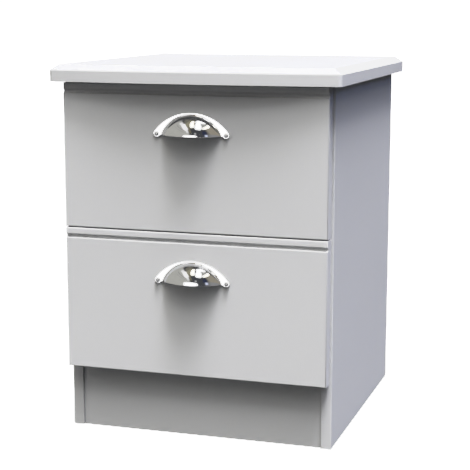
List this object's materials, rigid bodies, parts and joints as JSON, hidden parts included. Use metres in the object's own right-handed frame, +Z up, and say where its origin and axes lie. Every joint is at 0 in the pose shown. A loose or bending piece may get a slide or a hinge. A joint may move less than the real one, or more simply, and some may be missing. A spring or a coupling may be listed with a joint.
{
  "type": "nightstand with drawers",
  "caption": "Bedside cabinet with a bowed, chamfered top, grooved drawer fronts on roller runners, half-moon cup handles and a recessed plinth.",
  "frame": {"origin": "on the floor, under the centre of the whole piece's footprint with the drawers shut", "axes": "+Z up, -Y towards the front so that the drawers open along -Y, +X to the right as seen from the front"},
  "size_m": [0.4, 0.4268, 0.505],
  "materials": {
    "grey_foil": "matt light grey foil on board",
    "grey_box_board": "matt light grey faced board",
    "white_hardboard": "smooth off-white faced hardboard",
    "chrome": "mirror-bright chrome plate",
    "screw_steel": "bright zinc-plated steel",
    "runner_enamel": "white powder coat on folded steel",
    "nylon": "off-white nylon, satin",
    "zinc": "dull cast zinc"
  },
  "bodies": {
    "carcass": {"top_panel": "grey_foil", "left_side_panel": "grey_foil", "right_side_panel": "grey_foil", "back_panel": "white_hardboard", "base_panel": "grey_foil", "front_plinth": "grey_foil", "rear_plinth": "grey_foil", "top_front_rail": "grey_foil", "top_rear_rail": "grey_foil", "top_screw_front_left": "screw_steel", "top_screw_front_right": "screw_steel", "top_screw_rear_left": "screw_steel", "top_screw_rear_right": "screw_steel", "top_drawer_left_cabinet_runner": "runner_enamel", "top_drawer_left_front_axle": "screw_steel", "top_drawer_right_cabinet_runner": "runner_enamel", "top_drawer_right_front_axle": "screw_steel", "bottom_drawer_left_cabinet_runner": "runner_enamel", "bottom_drawer_left_front_axle": "screw_steel", "bottom_drawer_right_cabinet_runner": "runner_enamel", "bottom_drawer_right_front_axle": "screw_steel"},
    "top_drawer_left_front_roller": {"top_drawer_left_front_roller": "nylon"},
    "top_drawer_left_rear_roller": {"top_drawer_left_rear_roller": "nylon"},
    "top_drawer_right_front_roller": {"top_drawer_right_front_roller": "nylon"},
    "top_drawer_right_rear_roller": {"top_drawer_right_rear_roller": "nylon"},
    "top_drawer": {"top_drawer_front": "grey_foil", "top_drawer_left_side": "grey_box_board", "top_drawer_right_side": "grey_box_board", "top_drawer_back": "grey_box_board", "top_drawer_bottom": "white_hardboard", "top_drawer_handle": "chrome", "top_drawer_handle_screw_left": "screw_steel", "top_drawer_handle_screw_right": "screw_steel", "top_drawer_left_drawer_runner": "runner_enamel", "top_drawer_left_rear_axle": "screw_steel", "top_drawer_left_cam_lock": "zinc", "top_drawer_right_drawer_runner": "runner_enamel", "top_drawer_right_rear_axle": "screw_steel", "top_drawer_right_cam_lock": "zinc"},
    "bottom_drawer_left_front_roller": {"bottom_drawer_left_front_roller": "nylon"},
    "bottom_drawer_left_rear_roller": {"bottom_drawer_left_rear_roller": "nylon"},
    "bottom_drawer_right_front_roller": {"bottom_drawer_right_front_roller": "nylon"},
    "bottom_drawer_right_rear_roller": {"bottom_drawer_right_rear_roller": "nylon"},
    "bottom_drawer": {"bottom_drawer_front": "grey_foil", "bottom_drawer_left_side": "grey_box_board", "bottom_drawer_right_side": "grey_box_board", "bottom_drawer_back": "grey_box_board", "bottom_drawer_bottom": "white_hardboard", "bottom_drawer_handle": "chrome", "bottom_drawer_handle_screw_left": "screw_steel", "bottom_drawer_handle_screw_right": "screw_steel", "bottom_drawer_left_drawer_runner": "runner_enamel", "bottom_drawer_left_rear_axle": "screw_steel", "bottom_drawer_left_cam_lock": "zinc", "bottom_drawer_right_drawer_runner": "runner_enamel", "bottom_drawer_right_rear_axle": "screw_steel", "bottom_drawer_right_cam_lock": "zinc"}
  },
  "joints": [
    {"name": "top_drawer_slide", "type": "slide", "parent": "carcass", "child": "top_drawer", "axis": [0, -1, 0], "range_m": [0, 0.255]},
    {"name": "top_drawer_left_front_roller_spin", "type": "hinge", "parent": "carcass", "child": "top_drawer_left_front_roller", "pos_m": [-0.1655, -0.15845, 0.3072], "axis": [1, 0, 0], "continuous": true},
    {"name": "top_drawer_left_rear_roller_spin", "type": "hinge", "parent": "top_drawer", "child": "top_drawer_left_rear_roller", "pos_m": [-0.1647, 0.16755, 0.3053], "axis": [1, 0, 0], "continuous": true},
    {"name": "top_drawer_right_front_roller_spin", "type": "hinge", "parent": "carcass", "child": "top_drawer_right_front_roller", "pos_m": [0.1655, -0.15845, 0.3072], "axis": [1, 0, 0], "continuous": true},
    {"name": "top_drawer_right_rear_roller_spin", "type": "hinge", "parent": "top_drawer", "child": "top_drawer_right_rear_roller", "pos_m": [0.1647, 0.16755, 0.3053], "axis": [1, 0, 0], "continuous": true},
    {"name": "bottom_drawer_slide", "type": "slide", "parent": "carcass", "child": "bottom_drawer", "axis": [0, -1, 0], "range_m": [0, 0.255]},
    {"name": "bottom_drawer_left_front_roller_spin", "type": "hinge", "parent": "carcass", "child": "bottom_drawer_left_front_roller", "pos_m": [-0.1655, -0.15845, 0.1112], "axis": [1, 0, 0], "continuous": true},
    {"name": "bottom_drawer_left_rear_roller_spin", "type": "hinge", "parent": "bottom_drawer", "child": "bottom_drawer_left_rear_roller", "pos_m": [-0.1647, 0.16755, 0.1093], "axis": [1, 0, 0], "continuous": true},
    {"name": "bottom_drawer_right_front_roller_spin", "type": "hinge", "parent": "carcass", "child": "bottom_drawer_right_front_roller", "pos_m": [0.1655, -0.15845, 0.1112], "axis": [1, 0, 0], "continuous": true},
    {"name": "bottom_drawer_right_rear_roller_spin", "type": "hinge", "parent": "bottom_drawer", "child": "bottom_drawer_right_rear_roller", "pos_m": [0.1647, 0.16755, 0.1093], "axis": [1, 0, 0], "continuous": true}
  ],
  "couplings": [
    {"joint": "top_drawer_left_front_roller_spin", "follows": "top_drawer_slide", "rad_per_m": 90.909},
    {"joint": "top_drawer_left_rear_roller_spin", "follows": "top_drawer_slide", "rad_per_m": 100},
    {"joint": "top_drawer_right_front_roller_spin", "follows": "top_drawer_slide", "rad_per_m": 90.909},
    {"joint": "top_drawer_right_rear_roller_spin", "follows": "top_drawer_slide", "rad_per_m": 100},
    {"joint": "bottom_drawer_left_front_roller_spin", "follows": "bottom_drawer_slide", "rad_per_m": 90.909},
    {"joint": "bottom_drawer_left_rear_roller_spin", "follows": "bottom_drawer_slide", "rad_per_m": 100},
    {"joint": "bottom_drawer_right_front_roller_spin", "follows": "bottom_drawer_slide", "rad_per_m": 90.909},
    {"joint": "bottom_drawer_right_rear_roller_spin", "follows": "bottom_drawer_slide", "rad_per_m": 100}
  ]
}
